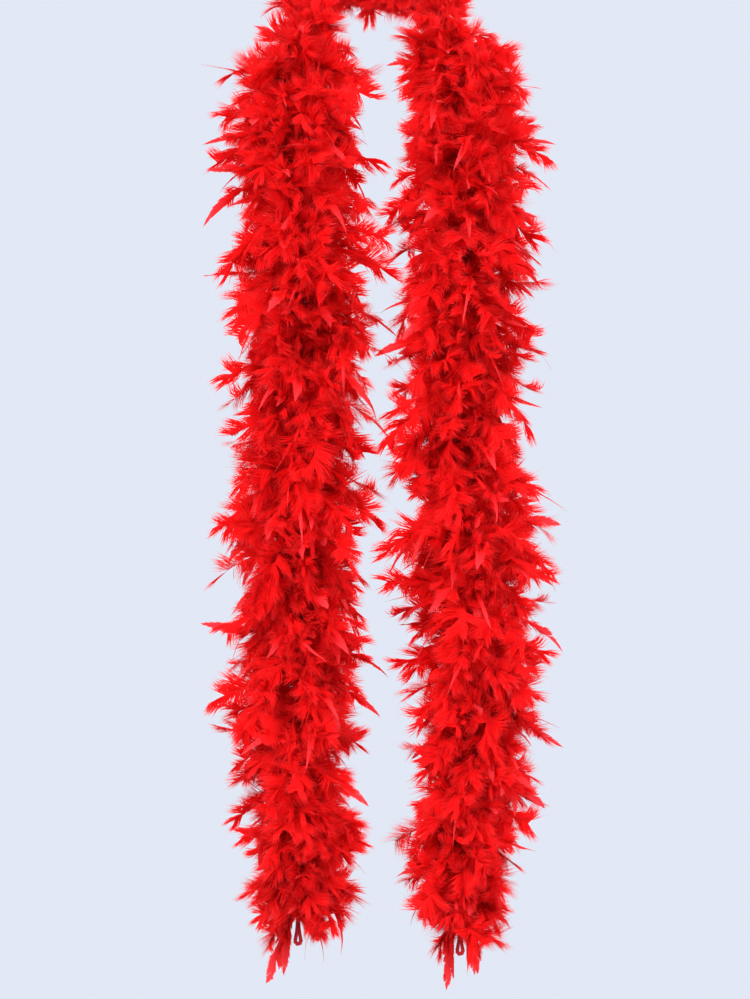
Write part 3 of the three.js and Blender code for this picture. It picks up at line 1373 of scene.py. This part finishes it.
@dataclass(frozen=True)
class BindingThread:
    """The fine thread wound round the cord and the roots of the quills."""

    route: Route
    radius: float = 0.0031
    thread_radius: float = 0.0002
    pitch: float = 0.0017
    steps_per_turn: int = 10
    sides: int = 3
    from_ends: float = 0.0135
    unevenness: float = 0.06
    wander_rate: float = 0.31

    def build(self, stretch: CordStretch, material: Material) -> Piece:
        """Winds the thread over one stretch of cord, short of its ends.

        Args:
            stretch: the stretch.
            material: the thread's finish.

        Returns:
            The piece.
        """
        start, end = stretch.start + self.from_ends, stretch.end - self.from_ends
        turns = (end - start) / self.pitch
        share = np.linspace(0, 1, int(turns * self.steps_per_turn) + 1)
        angle = share * turns * TURN
        wander = self.radius * (1 + self.unevenness * np.sin(angle * self.wander_rate))
        centres, radial = self.route.helix(start + share * (end - start), angle, wander)
        patch = thread_patch(centres, radial, self.thread_radius, angle, share, self.sides)
        name = stretch.name.replace("twisted_cord", "binding_thread")
        piece = Patchwork([patch]).build(name, [material])
        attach(piece, stretch.body)
        return piece


@dataclass(frozen=True)
class TailEnd:
    """The end of a tail: thread wound close over the cut cord, and a small loop of cord below it."""

    route: Route
    side: Side
    gap: float = 0.0012
    winding_length: float = 0.012
    winding_radius: float = 0.0026
    winding_bulge: float = 0.0007
    thread_radius: float = 0.00033
    thread_pitch: float = 0.000627
    thread_sides: int = 6
    steps_per_turn: int = 18
    loop_width: float = 0.0100
    loop_height: float = 0.031
    loop_cord: float = 0.0044
    loop_neck: float = 0.0011
    loop_pitch: float = 0.0055
    loop_steps: int = 150
    ply_share: float = 0.27
    thinnest: float = 0.42
    bow_power: int = 8
    bow_scale: float = 2.54
    neck_share: float = 0.25

    def winding(self, material: Material) -> Piece:
        """Winds the thread over the cut end.

        Args:
            material: its finish.

        Returns:
            The piece.
        """
        turns = self.winding_length / self.thread_pitch
        share = np.linspace(0, 1, int(turns * self.steps_per_turn) + 1)
        from_end = self.gap + self.thread_radius + share * (self.winding_length - 2 * self.thread_radius)
        distance = from_end if self.side is Side.LEFT else self.route.length - from_end
        angle = share * turns * TURN
        swell = self.winding_radius + self.winding_bulge * np.sqrt(np.maximum(np.sin(share * math.pi), 0))
        centres, radial = self.route.helix(distance, angle, swell)
        patch = thread_patch(centres, radial, self.thread_radius, angle, share, self.thread_sides)
        piece = Patchwork([patch]).build(f"{self.side.value}_end_winding", [material])
        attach(piece, f"{self.side.value}_tail_4")
        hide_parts(f"{self.side.value}_end_whipping")
        return piece

    def _teardrop(self, share: Rows) -> Rows:
        """Draws the loop's centreline in its own plane, from its top down one side and up the other.

        Args:
            share: how far along the loop, from 0 to 1.

        Returns:
            Each point's distance to the right of the loop's top, and above it.
        """
        angle = share * TURN
        half_width = (self.loop_width - self.loop_cord) / 2
        height = self.loop_height - self.loop_cord
        near_top = smooth(np.abs(2 * share - 1) / self.neck_share)
        apart = self.loop_neck * np.sign(0.5 - share) * near_top
        bow = np.sin(angle) * np.sin(angle / 2) ** self.bow_power * self.bow_scale
        across = apart + (half_width - self.loop_neck) * bow
        return np.stack([across, -height * (1 - np.cos(angle)) / 2], axis=-1)

    def loop(self, material: Material) -> Piece:
        """Twists a small cord into a teardrop loop.

        Args:
            material: its finish.

        Returns:
            The piece.
        """
        share = np.linspace(0, 1, self.loop_steps + 1)
        flat = self._teardrop(share)
        end = self.route.at(self.route.from_end(self.side, 0.0))
        top = end + DOWNWARD * (self.gap + self.loop_cord / 2)
        centre = top + np.stack([flat[:, 0], np.zeros(len(share)), flat[:, 1]], axis=-1)
        beside = np.cross(unit(np.gradient(centre, axis=0)), BACKWARD)
        fullness = self.thinnest + (1 - self.thinnest) * smooth(np.sin(share * math.pi))
        thickness = self.loop_cord * fullness
        ply = thickness * self.ply_share
        steps = np.linalg.norm(np.diff(centre, axis=0), axis=1)
        length = np.concatenate([[0.0], np.cumsum(steps)])
        patchwork = Patchwork()
        for number in range(2):
            angle = (TURN * length / self.loop_pitch + number * math.pi)[:, None]
            radial = np.cos(angle) * BACKWARD + np.sin(angle) * beside
            centres = centre + radial * (thickness / 2 - ply)[:, None]
            patchwork.patches.append(ply_patch(centres, radial, ply, share, number))
        piece = patchwork.build(f"{self.side.value}_hanging_loop", [material])
        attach(piece, f"{self.side.value}_end_loop")
        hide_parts(f"{self.side.value}_end_loop")
        return piece


@dataclass(frozen=True)
class Boa:
    """The whole boa: where each stretch lies on the cord and which body it rides on."""

    route: Route
    tail_stretch: float = 0.182
    tail_stretches: int = 4
    bend_reach: float = 0.06
    neck_stretches: int = 5

    def _along(self, side: Side, *from_end: float) -> list[float]:
        """Returns the distances along the whole cord of places measured from one end, in order."""
        return sorted(self.route.from_end(side, distance) for distance in from_end)

    def cord_stretches(self) -> list[CordStretch]:
        """Lists the stretches of cord.

        Returns:
            The one over the neck, then those down the tails.
        """
        tail = self.tail_stretch * self.tail_stretches
        found = [CordStretch("neck_twisted_cord", tail, self.route.length - tail, "neck_drape")]
        for side in Side:
            for number in range(1, self.tail_stretches + 1):
                upper = self.tail_stretch * (self.tail_stretches + 1 - number)
                body = f"{side.value}_tail_{number}"
                ends = self._along(side, upper - self.tail_stretch, upper)
                found.append(CordStretch(f"{body}_twisted_cord", *ends, body))
        return found

    def feather_stretches(self) -> list[FeatherStretch]:
        """Lists the feather pieces.

        Returns:
            Those over the joints and between them, down each tail, then those on the neck.
        """
        found = []
        for side in Side:
            for number in range(1, self.tail_stretches + 1):
                pivot = self.tail_stretch * (self.tail_stretches + 1 - number)
                body = f"{side.value}_tail_{number}"
                parent = "neck_drape" if number == 1 else f"{side.value}_tail_{number - 1}"
                last = number == self.tail_stretches
                lower = 0.0 if last else pivot - self.tail_stretch + self.bend_reach
                over = self._along(side, pivot - self.bend_reach, pivot + self.bend_reach)
                below = self._along(side, lower, pivot - self.bend_reach)
                found.append(FeatherStretch(f"{body}_joint_feathers", *over, (parent, body)))
                found.append(FeatherStretch(f"{body}_feathers", *below, (body,)))
        on_tail = self.tail_stretch * self.tail_stretches + self.bend_reach
        edges = np.linspace(on_tail, self.route.length - on_tail, self.neck_stretches + 1)
        for number in range(self.neck_stretches):
            ends = (float(edges[number]), float(edges[number + 1]))
            found.append(FeatherStretch(f"neck_feathers_{number + 1}", *ends, ("neck_drape",)))
        return found

    def share_out_clusters(self) -> None:
        """Hides the frame's plain feather clusters, in whose place the feather pieces stand.
        """
        stretches = self.feather_stretches()
        for node in frame["nodes"]:
            if "feather_cluster" not in node:
                continue
            low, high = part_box(node)
            distance = self.route.nearest((low + high) / 2)
            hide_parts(node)


@dataclass(frozen=True)
class SoftLight:
    """A square light that shines on the middle of the boa."""

    name: str
    place: Point
    size: float
    power: float
    colour: Colour
    target: Point = (0.0, -0.12, -0.45)

    def hang(self) -> None:
        """Hangs the light and turns it to its target."""
        data = bpy.data.lights.new(self.name, "AREA")
        data.size, data.energy, data.color = self.size, self.power, self.colour
        light = bpy.data.objects.new(self.name, data)
        light.location = self.place
        towards = Vector(self.target) - Vector(self.place)
        light.rotation_euler = towards.to_track_quat("-Z", "Y").to_euler()
        bpy.context.scene.collection.objects.link(light)


@dataclass(frozen=True)
class Studio:
    """The pale room: camera, floor, soft lights and backdrop."""

    eye: Point = (0.001, -3.124, -0.4995)
    lens: float = 108.1
    sensor_width: float = 36.0
    backdrop: Colour = (0.76, 0.807, 0.913)
    floor_height: float = -1.36
    floor_radius: float = 1.5
    floor_sides: int = 64
    floor_colours: tuple[Colour, Colour] = ((0.36, 0.38, 0.42), (0.39, 0.41, 0.45))
    lights: tuple[SoftLight, ...] = (
        SoftLight("key", (-1.5, -2.2, 0.7), 1.2, 88.0, (1.0, 0.98, 0.96)),
        SoftLight("fill", (1.7, -2.0, 0.1), 1.6, 58.0, (0.97, 0.98, 1.0)),
        SoftLight("back", (0.3, 1.6, 0.7), 1.6, 42.0, (1.0, 1.0, 1.0)),
    )

    def camera(self) -> None:
        """Sets up the camera, level with the middle of the boa."""
        data = bpy.data.cameras.new("camera")
        data.lens = self.lens
        data.sensor_width = self.sensor_width
        data.dof.use_dof = False
        camera = bpy.data.objects.new("camera", data)
        camera.location = self.eye
        camera.rotation_euler = (math.pi / 2, 0.0, 0.0)
        bpy.context.scene.collection.objects.link(camera)
        bpy.context.scene.camera = camera

    def light(self) -> None:
        """Lights the boa softly from the front left, with a weaker fill and a light from behind."""
        world = bpy.data.worlds.new("backdrop")
        world.use_nodes = True
        background = world.node_tree.nodes["Background"]
        background.inputs["Color"].default_value = (*self.backdrop, 1.0)
        background.inputs["Strength"].default_value = 1.0
        bpy.context.scene.world = world
        bpy.context.scene.view_settings.view_transform = "Standard"
        for light in self.lights:
            light.hang()

    def floor(self) -> None:
        """Lays a pale round floor well below the boa."""
        turns = np.arange(self.floor_sides) * TURN / self.floor_sides
        level = np.full(self.floor_sides, self.floor_height)
        rim = np.stack([np.cos(turns) * self.floor_radius, np.sin(turns) * self.floor_radius, level], axis=-1)
        mesh = bpy.data.meshes.new("floor")
        mesh.from_pydata(rim.tolist(), [], [list(range(self.floor_sides))])
        board = NodeBoard("pale_floor")
        speckle = board.add("ShaderNodeTexNoise", {"Scale": 40.0, "Detail": 3.0}).outputs[0]
        dark, pale = self.floor_colours
        colour = board.ramp(speckle, (NOISE_SPREAD[0], dark), (NOISE_SPREAD[1], pale))
        inputs = {"Base Color": colour, "Roughness": 0.9, "Specular IOR Level": 0.1}
        mesh.materials.append(board.finish(board.add("ShaderNodeBsdfPrincipled", inputs), pale))
        floor = bpy.data.objects.new("floor", mesh)
        bpy.context.scene.collection.objects.link(floor)


def allowed_room(share: float = 0.027, margin: float = 0.009) -> tuple[Rows, Rows]:
    """Works out the room that feathers may take: the frame's box and a little more.

    Args:
        share: how much of each side of the box they may pass it by.
        margin: how much more they may.

    Returns:
        The lowest and highest corner.
    """
    low, high = (np.array(corner) for corner in cad_box)
    proud = margin + share * (high - low)
    return low - proud, high + proud


def main() -> None:
    """Builds the camera, the cord, the ends, the feathers and the studio, in that order."""
    logging.basicConfig(level=logging.INFO, format="%(message)s")
    route = Route(ROUTE)
    boa = Boa(route)
    studio = Studio()
    studio.camera()

    cord_material, thread_material = CORD_YARN.material(), THREAD_YARN.material()
    core, binding = CoreCord(route), BindingThread(route)
    for stretch in boa.cord_stretches():
        core.build(stretch, cord_material)
        binding.build(stretch, thread_material)
        log.info("%s: %.0f mm of cord and its binding", stretch.name, 1000 * stretch.length)
    for side in Side:
        tail_end = TailEnd(route, side)
        tail_end.winding(thread_material)
        tail_end.loop(cord_material)
        log.info("%s end: winding and loop", side.value)

    materials = [DOWN.material(), VANE.material(), QUILL.material()]
    low, high = allowed_room()
    plumage = Plumage(route, low, high)
    for stretch in boa.feather_stretches():
        piece = stretch.build(plumage, materials)
        log.info("%s: %d faces on %s", stretch.name, len(piece.data.polygons), " and ".join(stretch.bodies))
    boa.share_out_clusters()

    studio.light()
    studio.floor()


if __name__ == "__main__":
    main()
